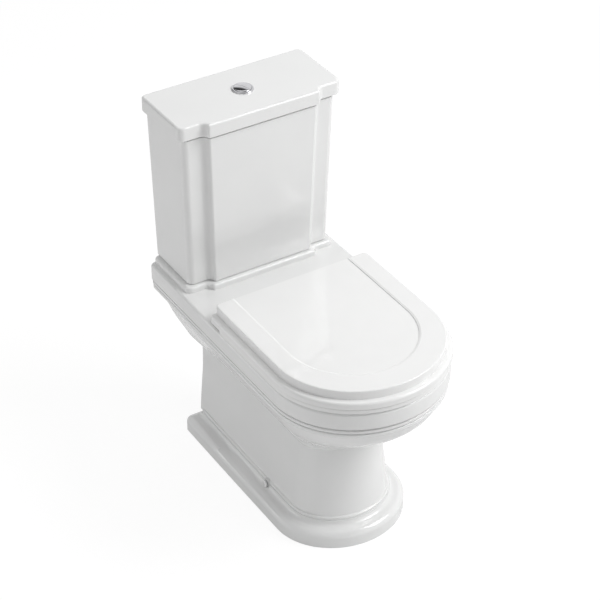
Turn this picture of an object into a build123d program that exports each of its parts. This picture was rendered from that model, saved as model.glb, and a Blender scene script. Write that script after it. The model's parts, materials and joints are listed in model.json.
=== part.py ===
from build123d import *
import math
import os

# General fits
overrun = 20.0
seat_gap = 0.3
moving_gap = 0.5
pin_clearance = 0.05
edge_tolerance = 0.03

# Overall depth, from the back of the cistern lid to the tip of the rim
overall_depth = 667.0
back_y = overall_depth / 2

# Rim and deck of the pan; the seat stands out past the rim by the rim step
seat_half_width = 186.0
seat_reach = 175.0
rim_step = 2.5
rim_height = 414.0
rim_half_width = seat_half_width - rim_step
rim_reach = seat_reach - rim_step
rim_centre_y = seat_reach - back_y
deck_half_width = 181.0
deck_rear_gap = 6.0
deck_rear_y = back_y - deck_rear_gap
deck_corner = 12.0
deck_thickness = 14.0
deck_under = rim_height - deck_thickness
rim_edge_radius = 6.0
fascia_depth = 36.5
fascia_edge_radius = 2.0
groove_depth = 4.5
band_depth = 6.5
band_inset = 2.0
band_edge_radius = 1.5
lower_groove_depth = 3.0
lip_depth = 8.5
lip_inset = 3.0
lip_radius = 3.2
brow_inset = 5.5
groove_top = rim_height - fascia_depth
band_top = groove_top - groove_depth
band_bottom = band_top - band_depth
lip_top = band_bottom - lower_groove_depth
brow_height = lip_top - lip_depth
rim_top_thickness = 12.0

# Body of the pan: brow under the rim, waist of the pedestal, foot above the plinth
pan_wall = 13.0
brow_ledge = 1.2
brow_half_width = rim_half_width - brow_inset - brow_ledge
brow_rear_half_width = 171.0
brow_rear_inset = 2.0
brow_rear_y = deck_rear_y - brow_rear_inset
waist_height = 205.0
waist_half_width = 90.0
waist_reach = 68.0
waist_centre_y = -99.0
waist_rear_half_width = 90.0
waist_rear_y = 291.0
foot_half_width = 107.0
foot_reach = 93.0
foot_centre_y = -97.0
foot_rear_half_width = 105.0
foot_rear_y = 277.0
body_corner = 9.0
side_taper = 2.0
void_front_share = 0.18
body_steps = 3

# Plinth
plinth_half_width = 139.7
plinth_reach = 126.7
plinth_rear_y = 282.0
plinth_corner = 12.0
plinth_rear_share = 0.6
plinth_height = 35.0
plinth_round = 14.0
cove_inset = 29.0
cove_depth = 11.0
cove_radius = 10.0
bead_inset = 30.0
bead_depth = 7.0
bead_radius = 3.2
bead_lower_radius = 1.2
foot_height = plinth_height + cove_depth

# Bowl and its water passages
opening_half_width = 128.0
opening_reach = 148.0
opening_centre_y = -135.0
bowl_drop = 44.0
bowl_top = rim_height - bowl_drop
bowl_half_width = 160.0
bowl_reach = 172.0
bowl_centre_y = -142.0
sump_height = 70.0
sump_half_width = 43.0
sump_reach = 43.0
sump_centre_y = -88.0
bowl_wall = 12.0
channel_drop = 30.0
channel_floor = rim_height - channel_drop
channel_gap = 10.0
channel_width = 26.0
flush_hole_radius = 3.0
flush_hole_count = 21
flush_hole_sweep = 290.0
trap_radius = 40.0
trap_wall = 12.0
spigot_radius = 51.0
spigot_length = 50.0
trap_bend_radius = 60.0
trap_rise_y = 0.0
trap_crest_y = 70.0
trap_fall_y = 150.0
trap_foot_y = 190.0
trap_crest_height = 245.0
outlet_height = 180.0
outlet_wall_gap = 15.0
outlet_end_y = back_y - outlet_wall_gap
rear_void_front_y = 46.0

# Pad under the cistern
pad_height = 12.4
pad_half_width = 170.5
pad_panel_half_width = 119.0
pad_panel_y = 172.5
pad_corner = 10.0
pad_edge_radius = 6.0
pad_top = rim_height + pad_height

# Breakfront outline shared by cistern, lid and pad
cove_step = 14.0
front_corner = 13.0
panel_corner = 5.0
rear_corner = 6.0

# Cistern
cistern_gap = 0.6
cistern_bottom = pad_top + cistern_gap
cistern_height = 335.2
cistern_top = cistern_bottom + cistern_height
cistern_bottom_half_width = 161.0
cistern_top_half_width = 170.0
panel_bottom_half_width = 111.0
panel_top_half_width = 120.0
panel_bottom_y = 180.5
panel_top_y = 172.0
cistern_back_gap = 3.0
cistern_back_y = back_y - cistern_back_gap
cistern_wall = 10.0
cistern_floor = 12.0
cistern_inner_corner = 12.0
cistern_foot_radius = 3.0
floor_top = cistern_bottom + cistern_floor

# Cistern lid
lid_bottom = cistern_top + seat_gap
lid_half_width = 180.5
lid_panel_half_width = 124.0
lid_panel_y = 166.0
lid_foot_inset = 10.0
lid_foot_depth = 6.0
lid_band_depth = 29.0
lid_edge_radius = 5.0
lid_corner = 12.0
lid_front_corner = 14.0
lid_plate = 9.0
lid_rim_width = 8.0
lid_top = lid_bottom + lid_foot_depth + lid_band_depth
lid_lug_length = 24.0
lid_lug_width = 7.0
lid_lug_drop = 8.0
lid_lug_gap = 4.0

# Flush valve and buttons, all about one upright axis
valve_y = 250.5
bezel_radius = 21.5
bezel_height = 2.5
bezel_round = 1.2
button_radius = 17.6
button_slit = 0.5
button_height = 5.0
button_proud = 0.8
button_round = 0.6
button_turn = 26.0
sleeve_inner_radius = 18.2
sleeve_radius = 20.0
sleeve_length = 26.0
sleeve_hole_gap = 0.6
bezel_nut_radius = 27.0
bezel_nut_height = 7.0
rod_x = 8.0
rod_y = 12.0
rod_radius = 2.0
rod_gap = 1.2
tail_radius = 30.5
tail_bore = 24.0
tail_hole_gap = 1.0
tail_length = 32.0
valve_washer_height = 3.0
valve_washer_radius = 41.0
valve_flange_height = 6.0
valve_flange_radius = 40.0
valve_seat_radius = 27.0
valve_seat_height = 8.0
cage_radius = 38.0
cage_wall = 3.0
cage_height = 110.0
cage_window_height = 46.0
cage_window_width = 30.0
cage_window_count = 4
guide_radius = 24.0
guide_height = 140.0
stem_radius = 8.0
stem_bore = 5.0
stem_clearance = 0.6
seal_radius = 31.0
seal_height = 3.0
float_cup_radius = 18.0
float_cup_height = 60.0
lever_pivot_x = 4.0
lever_push_arm = 12.0
lever_lift_arm = 24.0
lever_end = 1.0
lever_push_end = 4.0
lever_width = 5.0
lever_height = 5.0
lever_rise = 12.0
lever_pin_radius = 2.0
lever_ear_width = 3.0
lever_ear_half_length = 6.0
lift_arm_gap = 1.0
lift_arm_height = 4.0
lift_arm_half_width = 8.0
valve_nut_radius = 37.0
valve_nut_height = 9.0
gasket_radius = 50.0
gasket_bore = 38.5
gasket_seat_depth = 20.0
gasket_seat_gap = 1.5
flush_duct_radius = 28.0
flange_low = floor_top + valve_washer_height
flange_top = flange_low + valve_flange_height
valve_seat_top = flange_top + valve_seat_height
cage_top = flange_top + cage_height
guide_top = cage_top + guide_height
lever_centre = guide_top + lever_rise
lever_top = lever_centre + lever_height / 2

# Duct from the cistern to the rim channel
duct_half_width = 35.0
duct_drop = 37.0
duct_floor = rim_height - duct_drop
duct_wall = 12.0
duct_body_half_width = 56.0
duct_back = valve_y + flush_duct_radius + duct_wall

# Fill valve
fill_x = 78.0
shank_radius = 10.8
inlet_radius = 10.3
inlet_length = 25.0
shank_hole_gap = 0.9
shank_drop = 42.0
shank_bottom = rim_height - shank_drop
shank_bore = 5.0
fill_washer_radius = 17.0
fill_washer_height = 3.0
fill_flange_radius = 16.0
fill_flange_height = 5.0
riser_radius = 11.0
riser_drop = 72.2
riser_top = cistern_top - riser_drop
fill_head_radius = 16.0
fill_head_height = 26.0
fill_cap_radius = 12.0
fill_cap_height = 8.0
fill_nut_radius = 15.0
fill_nut_height = 7.0
fill_deck_hole_radius = 21.0
arm_pivot_x = 99.0
arm_pivot_rise = 12.0
arm_pivot_height = riser_top + arm_pivot_rise
arm_width = 8.0
arm_height = 6.0
arm_ear_width = 3.0
arm_pin_radius = 2.0
float_x = 132.0
float_radius = 18.0
float_height = 40.0
float_round = 4.0
float_screw_radius = 3.0
float_screw_height = 14.0
float_top = arm_pivot_height - arm_height / 2 - float_screw_height / 2

# Cistern bolts
bolt_x = 112.0
bolt_radius = 4.0
bolt_hole_gap = 1.5
bolt_head_radius = 9.0
bolt_head_height = 5.0
bolt_washer_radius = 13.0
bolt_washer_height = 3.0
steel_washer_radius = 12.0
steel_washer_height = 1.6
bolt_tail = 26.0
wing_hub_radius = 7.0
wing_hub_height = 8.0
wing_span = 13.0
wing_height = 12.0
wing_thickness = 2.6
wing_shoulder = 2.7
bolt_low = deck_under - bolt_tail
bolt_head_low = floor_top + bolt_washer_height

# Seat ring and lid, hinged together on two posts
ring_gap = 1.6
ring_height = 10.4
ring_inset = 1.5
ring_half_width = seat_half_width - ring_inset
ring_reach = seat_reach - ring_inset
ring_corner = 10.0
ring_hole_half_width = 114.0
ring_hole_reach = 138.0
ring_hole_centre_y = -146.0
ring_edge_radius = 3.0
ring_lower_edge_radius = 1.2
seat_split = 0.9
ring_bottom = rim_height + ring_gap
ring_top = ring_bottom + ring_height
seat_lid_bottom = ring_top + seat_split
seat_lid_base_height = 14.3
seat_lid_height = 33.1
seat_lid_top = seat_lid_bottom + seat_lid_height
seat_lid_rear_y = 74.0
seat_lid_corner = 10.0
seat_lid_top_inset = 12.4
seat_lid_bead_radius = 5.0
seat_lid_edge_radius = 2.4
seat_lid_plate = 9.0
seat_lid_skirt = 8.0
seat_lid_rear_skirt = 6.0
recess_depth = 2.2
recess_bevel_depth = 1.0
recess_bevel_angle = 76.0
recess_half_width = 131.5
recess_reach = 135.3
recess_centre_y = -132.5
hinge_x = 77.5
hinge_y = 60.0
hinge_rise = 21.6
hinge_height = rim_height + hinge_rise
hinge_pin_radius = 3.5
post_eye_radius = 7.5
post_eye_length = 16.0
post_neck_radius = 6.0
post_base_radius = 11.0
post_base_height = 4.0
post_pad_radius = 12.0
ring_post_gap = 1.5
ring_rear_y = hinge_y - post_pad_radius - ring_post_gap
post_pad_height = 1.5
knuckle_radius = 7.0
knuckle_length = 13.0
knuckle_gap = 0.6
outer_knuckle_x = hinge_x + post_eye_length / 2 + knuckle_gap + knuckle_length / 2
inner_knuckle_x = hinge_x - post_eye_length / 2 - knuckle_gap - knuckle_length / 2
ring_arm_height = 15.0
pin_head_length = 2.0
pin_head_radius = 5.0
notch_margin = 3.5
stud_radius = 4.0
stud_length = 52.0
stud_hole_radius = 7.0
cone_radius = 11.0
cone_height = 6.0
buffer_radius = 7.0
lid_buffer_height = 8.0
buffer_boss_wall = 2.5
ring_buffer_y = -250.0
ring_buffer_x = 130.0
rear_buffer_x = 146.5
rear_buffer_y = 15.0

# Side fixings through the pedestal into floor brackets
fixing_y = -9.5
fixing_height = 45.0
fixing_face_x = 112.0
fixing_boss_radius = 9.5
fixing_boss_depth = 16.0
cap_radius = 8.0
cap_thickness = 3.0
cap_round = 1.0
cap_dimple_radius = 3.0
cap_dimple_depth = 1.0
cap_pocket_gap = 0.8
screw_radius = 3.0
screw_hole_gap = 0.8
screw_head_radius = 5.5
screw_head_height = 2.5
screw_length = 30.0
bracket_thickness = 3.0
bracket_width = 30.0
bracket_foot = 34.0
bracket_leg = 58.0
bracket_wall_gap = 1.8
floor_screw_head = 2.6
cap_end_x = fixing_face_x + screw_head_height + seat_gap + cap_thickness
bracket_x = foot_half_width - pan_wall - side_taper / 2 - bracket_wall_gap

# Rows of the pan's body between waist and brow: height, width, reach, centre, rear width, rear
upper_body_shares = [
    (0.0, 0.0, 0.0, 0.0, 0.0, 0.0),
    (0.13, 0.09, 0.06, 0.17, 0.27, 0.12),
    (0.30, 0.27, 0.26, 0.39, 0.43, 0.28),
    (0.467, 0.49, 0.485, 0.62, 0.58, 0.43),
    (0.613, 0.68, 0.667, 0.81, 0.69, 0.565),
    (0.78, 0.86, 0.86, 0.94, 0.80, 0.74),
    (1.0, 1.0, 1.0, 1.0, 1.0, 1.0),
]
# Rows of the pedestal between foot and waist, in the same order
lower_body_shares = [
    (0.0, 0.0, 0.0, 0.0, 0.0, 0.0),
    (0.12, 0.14, 0.10, 0.0, 0.14, 0.14),
    (0.42, 0.45, 0.33, 0.3, 0.45, 0.32),
    (0.67, 0.74, 0.57, 0.6, 0.74, 0.53),
    (1.0, 1.0, 1.0, 1.0, 1.0, 1.0),
]
# Rows of the bowl between sump and rim: height, width, reach, centre
bowl_shares = [
    (0.0, 0.0, 0.0, 0.0),
    (0.22, 0.02, 0.0, 0.0),
    (0.367, 0.09, 0.03, 0.11),
    (0.517, 0.25, 0.12, 0.31),
    (0.633, 0.51, 0.41, 0.55),
    (0.767, 0.79, 0.72, 0.85),
    (0.883, 0.95, 0.92, 0.98),
    (1.0, 1.0, 1.0, 1.0),
]


def between(low, high, share):
    return low + (high - low) * share


def d_outline(height, half_width, rear_half_width, reach, centre_y, rear_y, corner):
    """Straight-backed outline with long sides and a half-elliptic front."""
    nose = EllipticalCenterArc((0, centre_y), half_width, reach, start_angle=180, arc_size=180)
    right = TangentArc([(half_width, centre_y), (rear_half_width, rear_y)], tangent=(0, 1))
    back = Line((rear_half_width, rear_y), (-rear_half_width, rear_y))
    left = TangentArc([(-half_width, centre_y), (-rear_half_width, rear_y)], tangent=(0, 1))
    face = make_face([*nose.edges(), *right.edges(), *back.edges(), *left.edges()])
    face = fillet(face.vertices().group_by(Axis.Y)[-1], corner)
    return Pos(0, 0, height) * face


def rim_outline(height, inset):
    return d_outline(
        height,
        rim_half_width - inset,
        deck_half_width - inset,
        rim_reach - inset,
        rim_centre_y,
        deck_rear_y,
        deck_corner,
    )


def plinth_outline(height, inset):
    half_width = plinth_half_width - inset
    return d_outline(
        height,
        half_width,
        half_width - side_taper,
        plinth_reach - inset,
        foot_centre_y,
        plinth_rear_y - inset * plinth_rear_share,
        plinth_corner,
    )


def breakfront(height, half_width, panel_half_width, panel_y, rear_y, rear_radius, front_radius):
    """Outline with a centre panel standing forward of two pilasters, joined by coves."""
    pilaster_y = panel_y + cove_step
    inner_x = panel_half_width + cove_step
    front = Line((-panel_half_width, panel_y), (panel_half_width, panel_y))
    right_cove = CenterArc((inner_x, panel_y), cove_step, 180, -90)
    right_face = Line((inner_x, pilaster_y), (half_width, pilaster_y))
    right_side = Line((half_width, pilaster_y), (half_width, rear_y))
    back = Line((half_width, rear_y), (-half_width, rear_y))
    left_side = Line((-half_width, rear_y), (-half_width, pilaster_y))
    left_face = Line((-half_width, pilaster_y), (-inner_x, pilaster_y))
    left_cove = CenterArc((-inner_x, panel_y), cove_step, 90, -90)
    runs = [front, right_cove, right_face, right_side, back, left_side, left_face, left_cove]
    face = make_face([edge for run in runs for edge in run.edges()])
    rear = face.vertices().group_by(Axis.Y)[-1]
    face = fillet(rear, rear_radius)
    outer = face.vertices().group_by(Axis.X)
    corners = [outer[0].sort_by(Axis.Y)[0], outer[-1].sort_by(Axis.Y)[0]]
    face = fillet(corners, front_radius)
    face = fillet(face.vertices().group_by(Axis.Y)[0], panel_corner)
    return Pos(0, 0, height) * face


def body_row(row, low, high, inset, rear_reach):
    height, width, reach, centre, rear_width, rear = row
    return d_outline(
        between(low[0], high[0], height),
        between(low[1], high[1], width) - inset,
        between(low[4], high[4], rear_width) - inset,
        between(low[2], high[2], reach) - inset,
        between(low[3], high[3], centre),
        between(low[5], high[5], rear) + rear_reach,
        body_corner,
    )


foot_row = (
    foot_height,
    foot_half_width,
    foot_reach,
    foot_centre_y,
    foot_rear_half_width,
    foot_rear_y,
)
waist_row = (
    waist_height,
    waist_half_width,
    waist_reach,
    waist_centre_y,
    waist_rear_half_width - side_taper,
    waist_rear_y,
)
brow_row = (
    brow_height,
    brow_half_width,
    rim_reach - brow_inset - brow_ledge,
    rim_centre_y,
    brow_rear_half_width,
    brow_rear_y,
)


def eased_rows(rows, steps):
    """The given rows with more between them, on a smooth curve through all of them."""
    first = tuple(2 * near - far for near, far in zip(rows[0], rows[1]))
    last = tuple(2 * near - far for near, far in zip(rows[-1], rows[-2]))
    chain = [first, *rows, last]
    eased = []
    for index in range(1, len(chain) - 2):
        for step in range(steps):
            t = step / steps
            shares = (
                (-t + 2 * t**2 - t**3) / 2,
                (2 - 5 * t**2 + 3 * t**3) / 2,
                (t + 4 * t**2 - 3 * t**3) / 2,
                (t**3 - t**2) / 2,
            )
            near = chain[index - 1 : index + 3]
            eased.append(tuple(sum(s * v for s, v in zip(shares, values)) for values in zip(*near)))
    return [*eased, rows[-1]]


def body_loft(inset, rear_reach, upper_rows, steps):
    """Pedestal and bowl side, meeting in a crease at the waist."""
    rows = [
        body_row(row, foot_row, waist_row, inset, rear_reach)
        for row in eased_rows(lower_body_shares, steps)[:-1]
    ]
    rows += [
        body_row(row, waist_row, brow_row, inset, rear_reach) for row in eased_rows(upper_rows, steps)
    ]
    return loft([row.face() for row in rows], ruled=True)


def bowl_loft(wall):
    rows = []
    for height, width, reach, centre in eased_rows(bowl_shares, body_steps):
        level = between(sump_height - wall, bowl_top, height)
        row = Ellipse(
            between(sump_half_width, bowl_half_width, width) + wall,
            between(sump_reach, bowl_reach, reach) + wall,
        )
        rows.append((Pos(0, between(sump_centre_y, bowl_centre_y, centre), level) * row).face())
    return loft(rows, ruled=True)


def trap_path():
    start_height = sump_height + trap_radius
    line = FilletPolyline(
        (0, sump_centre_y, start_height),
        (0, trap_rise_y, start_height),
        (0, trap_crest_y, trap_crest_height),
        (0, trap_fall_y, trap_crest_height),
        (0, trap_foot_y, outlet_height),
        (0, outlet_end_y - spigot_length, outlet_height),
        radius=trap_bend_radius,
    )
    return line


def tube_along(path, radius):
    section = Plane(origin=path @ 0, z_dir=path % 0) * Circle(radius)
    return sweep(section, path=path)


def z_cylinder(x, y, low, high, radius):
    return Pos(x, y, low) * extrude(Circle(radius), high - low)


def z_ring(x, y, low, high, radius, bore):
    return Pos(x, y, low) * extrude(Circle(radius) - Circle(bore), high - low)


def x_cylinder(low, high, y, z, radius):
    return Pos(low, y, z) * Rot(0, 90, 0) * extrude(Circle(radius), high - low)


def y_cylinder(x, low, high, z, radius):
    return Pos(x, low, z) * Rot(-90, 0, 0) * extrude(Circle(radius), high - low)


def block(x0, x1, y0, y1, z0, z1):
    box = Box(x1 - x0, y1 - y0, z1 - z0)
    return Pos((x0 + x1) / 2, (y0 + y1) / 2, (z0 + z1) / 2) * box


def hexagon(x, y, low, high, radius, bore):
    return Pos(x, y, low) * extrude(RegularPolygon(radius, 6) - Circle(bore), high - low)


def edges_at(solid, height):
    return solid.edges().filter_by_position(Axis.Z, height - edge_tolerance, height + edge_tolerance)


def save(name, shape):
    solids = shape.solids()
    body = solids[0] if len(solids) == 1 else Compound(children=list(solids))
    export_step(body, f"parts/{name}.step")


def rim_block():
    fascia = extrude(rim_outline(groove_top, 0), fascia_depth)
    fascia = fillet(edges_at(fascia, rim_height), rim_edge_radius)
    fascia = fillet(edges_at(fascia, groove_top), fascia_edge_radius)
    core = extrude(rim_outline(lip_top, brow_inset), groove_top - lip_top)
    band = extrude(rim_outline(band_bottom, band_inset), band_depth)
    band = fillet(edges_at(band, band_top), band_edge_radius)
    band = fillet(edges_at(band, band_bottom), band_edge_radius)
    lip = extrude(rim_outline(brow_height, lip_inset), lip_depth)
    lip = fillet(edges_at(lip, lip_top), band_edge_radius)
    lip = fillet(edges_at(lip, brow_height), lip_radius)
    return fascia + core + band + lip


def inner_edges(solid, height, half_width):
    found = []
    for edge in edges_at(solid, height):
        box = edge.bounding_box()
        if max(abs(box.min.X), abs(box.max.X)) <= half_width + seat_gap:
            found.append(edge)
    return found


def plinth_block():
    base = extrude(plinth_outline(0, 0), plinth_height)
    base = fillet(edges_at(base, plinth_height), plinth_round)
    step = extrude(plinth_outline(0, cove_inset), foot_height)
    lower = base + step
    lower = fillet(inner_edges(lower, plinth_height, plinth_half_width - cove_inset), cove_radius)
    bead = extrude(plinth_outline(foot_height, bead_inset), bead_depth)
    bead = fillet(edges_at(bead, foot_height + bead_depth), bead_radius)
    bead = fillet(edges_at(bead, foot_height), bead_lower_radius)
    return lower + bead


def pad_block():
    outline = breakfront(
        rim_height,
        pad_half_width,
        pad_panel_half_width,
        pad_panel_y,
        deck_rear_y,
        pad_corner,
        front_corner,
    )
    pad = extrude(outline, pad_height)
    return fillet(edges_at(pad, pad_top), pad_edge_radius)


def rear_void():
    rows = []
    back = back_y + overrun
    front = rear_void_front_y
    for height, width, _, _, rear_width, _ in upper_body_shares[1:]:
        half_width = between(waist_row[1], brow_row[1], width)
        rear_half = between(waist_row[4], brow_row[4], rear_width) - pan_wall
        front_half = between(half_width, rear_half + pan_wall, void_front_share) - pan_wall
        level = between(waist_height, brow_height, height)
        corners = [(-front_half, front), (front_half, front), (rear_half, back), (-rear_half, back)]
        ring = Polyline(*corners, close=True)
        rows.append((Pos(0, 0, level) * make_face(ring)).face())
    top = extrude(rows[-1], rim_height - deck_thickness - brow_height)
    return loft(rows, ruled=True) + top


def trapway():
    """Outer and inner solids of the trap and of the straight spigot behind it."""
    path = trap_path()
    start = outlet_end_y - spigot_length
    end = outlet_end_y + overrun
    outer = tube_along(path, trap_radius + trap_wall)
    outer += y_cylinder(0, start, outlet_end_y, outlet_height, spigot_radius)
    inner = tube_along(path, trap_radius)
    inner += y_cylinder(0, start, end, outlet_height, trap_radius)
    return outer, inner


def duct_body():
    return block(
        -duct_body_half_width,
        duct_body_half_width,
        rear_void_front_y - overrun,
        duct_back + duct_wall,
        duct_floor - duct_wall,
        rim_height,
    )


def pan_void():
    """Hollow behind and below the bowl, open at the back and at the floor."""
    rear_reach = overrun * 3
    foot = body_row(lower_body_shares[0], foot_row, waist_row, pan_wall, rear_reach)
    foot = Pos(0, 0, -foot_height - overrun) * extrude(foot, foot_height + overrun)
    return foot + body_loft(pan_wall, rear_reach, upper_body_shares[:5], 1) + rear_void()


def rim_channel():
    """Water channel in the rim with its holes, and the duct that feeds it."""
    inner = Ellipse(opening_half_width + channel_gap, opening_reach + channel_gap)
    wide = channel_gap + channel_width
    outer = Ellipse(opening_half_width + wide, opening_reach + wide)
    channel_height = rim_height - rim_top_thickness - channel_floor
    channel = Pos(0, opening_centre_y, channel_floor) * extrude(outer - inner, channel_height)
    middle = channel_gap + channel_width / 2
    for index in range(flush_hole_count):
        angle = math.radians(270 + flush_hole_sweep * (index / (flush_hole_count - 1) - 0.5))
        x = (opening_half_width + middle) * math.cos(angle)
        y = opening_centre_y + (opening_reach + middle) * math.sin(angle)
        low = bowl_top - overrun / 4
        channel += z_cylinder(x, y, low, channel_floor + overrun / 4, flush_hole_radius)
    front = opening_centre_y + opening_reach + middle
    channel += block(-duct_half_width, duct_half_width, front, duct_back, duct_floor, deck_under)
    channel += z_cylinder(0, valve_y, deck_under - overrun / 4, pad_top, flush_duct_radius)
    return channel


def deck_holes():
    low = deck_under - overrun
    high = pad_top + overrun
    holes = z_cylinder(fill_x, valve_y, low, high, fill_deck_hole_radius)
    holes += z_cylinder(
        0, valve_y, pad_top - gasket_seat_depth, high, gasket_radius + gasket_seat_gap
    )
    for side in (-1, 1):
        holes += z_cylinder(side * bolt_x, valve_y, low, high, bolt_radius + bolt_hole_gap)
        holes += z_cylinder(side * hinge_x, hinge_y, low, high, stud_hole_radius)
    return holes


def side_cylinder(side, inner_x, outer_x, radius):
    ends = sorted((side * inner_x, side * outer_x))
    return x_cylinder(ends[0], ends[1], fixing_y, fixing_height, radius)


def make_pan():
    shell = body_loft(0, 0, upper_body_shares, body_steps)
    body = rim_block() + shell + plinth_block() + pad_block()
    trap_outer, trap_inner = trapway()
    void = pan_void() - bowl_loft(bowl_wall) - trap_outer - duct_body()
    pan = body - void + (trap_outer - shell)
    pan = pan - bowl_loft(0) - trap_inner
    opening_depth = rim_height - bowl_top + overrun
    opening = extrude(Ellipse(opening_half_width, opening_reach), opening_depth)
    pan = pan - Pos(0, opening_centre_y, bowl_top) * opening - rim_channel() - deck_holes()
    boss_inner = fixing_face_x - fixing_boss_depth
    outside = plinth_half_width + overrun
    for side in (-1, 1):
        pan += side_cylinder(side, boss_inner, fixing_face_x, fixing_boss_radius)
        pan -= side_cylinder(side, fixing_face_x, outside, cap_radius + cap_pocket_gap)
        pan -= side_cylinder(side, boss_inner - overrun, outside, screw_radius + screw_hole_gap)
    return pan


def cistern_row(height, inset):
    share = (height - cistern_bottom) / (cistern_top - cistern_bottom)
    return breakfront(
        height,
        between(cistern_bottom_half_width, cistern_top_half_width, share) - inset,
        between(panel_bottom_half_width, panel_top_half_width, share),
        between(panel_bottom_y, panel_top_y, share),
        cistern_back_y,
        rear_corner,
        front_corner,
    )


def cistern_inner_row(height):
    share = (height - cistern_bottom) / (cistern_top - cistern_bottom)
    half_width = between(cistern_bottom_half_width, cistern_top_half_width, share) - cistern_wall
    front_y = between(panel_bottom_y, panel_top_y, share) + cove_step + cistern_wall
    rear_y = cistern_back_y - cistern_wall
    row = Rectangle(half_width * 2, rear_y - front_y)
    row = fillet(row.vertices(), cistern_inner_corner)
    return Pos(0, (front_y + rear_y) / 2, height) * row


def make_cistern():
    outer = loft([cistern_row(cistern_bottom, 0).face(), cistern_row(cistern_top, 0).face()], ruled=True)
    outer = fillet(edges_at(outer, cistern_bottom), cistern_foot_radius)
    low = cistern_inner_row(floor_top).face()
    high = cistern_inner_row(cistern_top + overrun).face()
    cistern = outer - loft([low, high], ruled=True)
    hole_top = floor_top + overrun
    cistern -= z_cylinder(0, valve_y, rim_height, hole_top, tail_radius + tail_hole_gap)
    cistern -= z_cylinder(fill_x, valve_y, rim_height, hole_top, shank_radius + shank_hole_gap)
    for x in (-bolt_x, bolt_x):
        cistern -= z_cylinder(x, valve_y, rim_height, hole_top, bolt_radius + bolt_hole_gap)
    return cistern


def lid_outline(height, inset):
    return breakfront(
        height,
        lid_half_width - inset,
        lid_panel_half_width - inset,
        lid_panel_y + inset,
        back_y - inset,
        lid_corner,
        lid_front_corner,
    )


def make_cistern_lid():
    band_bottom_z = lid_bottom + lid_foot_depth
    low = lid_outline(lid_bottom, lid_foot_inset).face()
    high = lid_outline(band_bottom_z, 0).face()
    foot = loft([low, high], ruled=True)
    band = extrude(lid_outline(band_bottom_z, 0), lid_band_depth)
    band = fillet(edges_at(band, lid_top), lid_edge_radius)
    lid = foot + band
    inset = lid_foot_inset + lid_rim_width
    half_width = lid_half_width - inset
    front_y = lid_panel_y + cove_step + inset
    rear_y = back_y - inset
    hollow_top = lid_top - lid_plate
    hollow = fillet(Rectangle(half_width * 2, rear_y - front_y).vertices(), lid_corner)
    hollow = Pos(0, (front_y + rear_y) / 2, lid_bottom) * hollow
    lid -= extrude(hollow, hollow_top - lid_bottom)
    lug_low = lid_bottom - lid_lug_drop
    lug_x = cistern_top_half_width - cistern_wall - lid_lug_gap
    lug_front = panel_top_y + cove_step + cistern_wall + lid_lug_gap
    lug_back = cistern_back_y - cistern_wall - lid_lug_gap
    for side in (-1, 1):
        ends = sorted((side * (lug_x - lid_lug_width), side * lug_x))
        middle = (lug_front + lug_back) / 2
        for low, high in ((lug_front + lid_lug_length, middle), (middle, lug_back - lid_lug_length)):
            centre = (low + high) / 2
            half = lid_lug_length / 2
            lid += block(ends[0], ends[1], centre - half, centre + half, lug_low, hollow_top)
    hole_radius = sleeve_radius + sleeve_hole_gap
    return lid - z_cylinder(0, valve_y, hollow_top - overrun, lid_top + overrun, hole_radius)


def make_bezel():
    low = lid_top + seat_gap
    top = low + bezel_height
    flange = z_cylinder(0, valve_y, low, top, bezel_radius)
    flange = fillet(edges_at(flange, top), bezel_round)
    sleeve = z_cylinder(0, valve_y, low - sleeve_length, low, sleeve_radius)
    bore = z_cylinder(0, valve_y, lid_bottom - overrun, top + overrun, sleeve_inner_radius)
    return flange + sleeve - bore


def make_bezel_nut():
    top = lid_top - lid_plate - seat_gap
    return hexagon(0, valve_y, top - bezel_nut_height, top, bezel_nut_radius, sleeve_radius)


def make_button(side):
    low = lid_top + bezel_height + seat_gap + button_proud - button_height
    disc = z_cylinder(0, 0, 0, button_height, button_radius)
    disc = fillet(edges_at(disc, button_height), button_round)
    ends = sorted((side * button_slit / 2, side * overrun * 2))
    half = disc & block(ends[0], ends[1], -overrun * 2, overrun * 2, -overrun, overrun)
    half = Pos(0, valve_y, low) * Rot(0, 0, button_turn) * half
    rod_low = lever_top + rod_gap
    rod = z_cylinder(side * rod_x, valve_y + side * rod_y, rod_low, low + button_height / 2, rod_radius)
    return half + rod


def make_valve_base():
    low = floor_top - tail_length
    base = z_ring(0, valve_y, low, flange_low, tail_radius, tail_bore)
    base += z_ring(0, valve_y, flange_low, flange_top, valve_flange_radius, tail_bore)
    base += z_ring(0, valve_y, flange_top, valve_seat_top, valve_seat_radius, tail_bore)
    return base


def make_valve_washer():
    return z_ring(0, valve_y, floor_top, flange_low, valve_washer_radius, tail_radius)


def make_valve_nut():
    top = cistern_bottom - seat_gap
    return hexagon(0, valve_y, top - valve_nut_height, top, valve_nut_radius, tail_radius)


def make_gasket():
    low = pad_top - gasket_seat_depth
    return z_ring(0, valve_y, low, cistern_bottom, gasket_radius, gasket_bore)


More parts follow.
